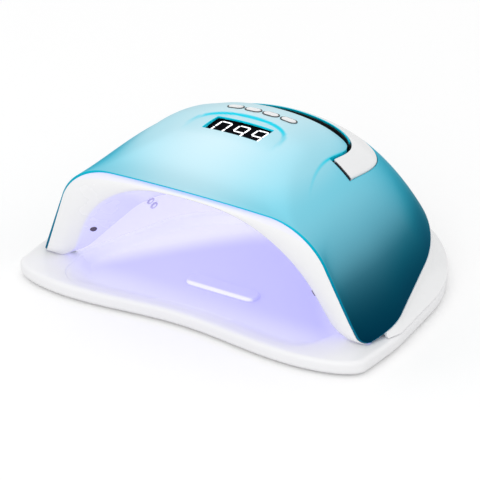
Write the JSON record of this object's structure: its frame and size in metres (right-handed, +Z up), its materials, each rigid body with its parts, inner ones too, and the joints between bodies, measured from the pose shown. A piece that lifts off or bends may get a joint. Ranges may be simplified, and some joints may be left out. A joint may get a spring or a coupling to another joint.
{
  "type": "uv led nail lamp",
  "caption": "Dome-shaped UV LED nail lamp on a loose tray, with a display window, oval timer keys, a flip-up carrying handle and an open hand cavity lined with LEDs.",
  "frame": {"origin": "centre of the bounding box in plan, on the plane under the rubber feet", "axes": "+Z up, -Y out of the hand opening, +X to the right when looking into the opening along +Y"},
  "size_m": [0.2364, 0.198, 0.101],
  "materials": {
    "teal_plate": "electroplated gloss, light cyan to deep petrol",
    "white_gloss": "moulded white gloss",
    "tray_white": "moulded white satin gloss",
    "reflector_white": "bright white reflector",
    "bead_violet": "lit violet LED beads on a flexible strip",
    "well_black": "black moulded plastic",
    "lens_black": "polished smoked window",
    "digit_grey": "digit display body",
    "board_green": "solder mask",
    "steel": "plated steel",
    "rubber_grey": "soft rubber",
    "sensor_dark": "dark infra-red window"
  },
  "bodies": {
    "tray": {"tray": "tray_white", "tray_foot_1": "rubber_grey", "tray_foot_2": "rubber_grey", "tray_foot_3": "rubber_grey", "tray_foot_4": "rubber_grey", "tray_magnet_1": "steel", "tray_magnet_2": "steel", "tray_magnet_3": "steel", "tray_magnet_4": "steel"},
    "lamp": {"base_ring": "white_gloss", "ring_screw_1": "steel", "ring_screw_2": "steel", "ring_screw_3": "steel", "ring_screw_4": "steel", "ring_screw_5": "steel", "ring_screw_6": "steel", "ring_magnet_1": "steel", "ring_magnet_2": "steel", "ring_magnet_3": "steel", "ring_magnet_4": "steel", "rear_housing": "white_gloss", "dc_jack": "well_black", "front_bezel": "white_gloss", "ir_emitter": "sensor_dark", "ir_receiver": "sensor_dark", "reflector": "reflector_white", "led_strip_left": "bead_violet", "led_strip_right": "bead_violet", "led_strip_crown": "bead_violet", "control_board": "board_green", "display_lens": "lens_black", "display_module": "digit_grey", "switch_10s": "well_black", "switch_30s": "well_black", "switch_60s": "well_black", "switch_99s": "well_black", "handle_well": "well_black", "hinge_pin_left": "steel", "hinge_pin_right": "steel", "top_cover": "teal_plate"},
    "handle": {"handle": "white_gloss", "handle_trim": "teal_plate"},
    "key_10s": {"key_10s": "white_gloss"},
    "key_30s": {"key_30s": "white_gloss"},
    "key_60s": {"key_60s": "white_gloss"},
    "key_99s": {"key_99s": "white_gloss"}
  },
  "joints": [
    {"name": "lamp_lift", "type": "slide", "parent": "tray", "child": "lamp", "axis": [0, 0, 1], "range_m": [0, 0.06]},
    {"name": "handle_hinge", "type": "hinge", "parent": "lamp", "child": "handle", "pos_m": [0, -0.01, 0.08236], "axis": [1, 0, 0], "range_deg": [0, 90]},
    {"name": "key_10s_press", "type": "slide", "parent": "lamp", "child": "key_10s", "axis": [0.1073, -0.181, -0.9776], "range_m": [0, 0.0008], "stiffness_N_per_m": 800, "springref_m": -0.0004},
    {"name": "key_30s_press", "type": "slide", "parent": "lamp", "child": "key_30s", "axis": [0.0375, -0.1434, -0.989], "range_m": [0, 0.0008], "stiffness_N_per_m": 800, "springref_m": -0.0004},
    {"name": "key_60s_press", "type": "slide", "parent": "lamp", "child": "key_60s", "axis": [-0.0375, -0.1434, -0.989], "range_m": [0, 0.0008], "stiffness_N_per_m": 800, "springref_m": -0.0004},
    {"name": "key_99s_press", "type": "slide", "parent": "lamp", "child": "key_99s", "axis": [-0.1073, -0.181, -0.9776], "range_m": [0, 0.0008], "stiffness_N_per_m": 800, "springref_m": -0.0004}
  ]
}
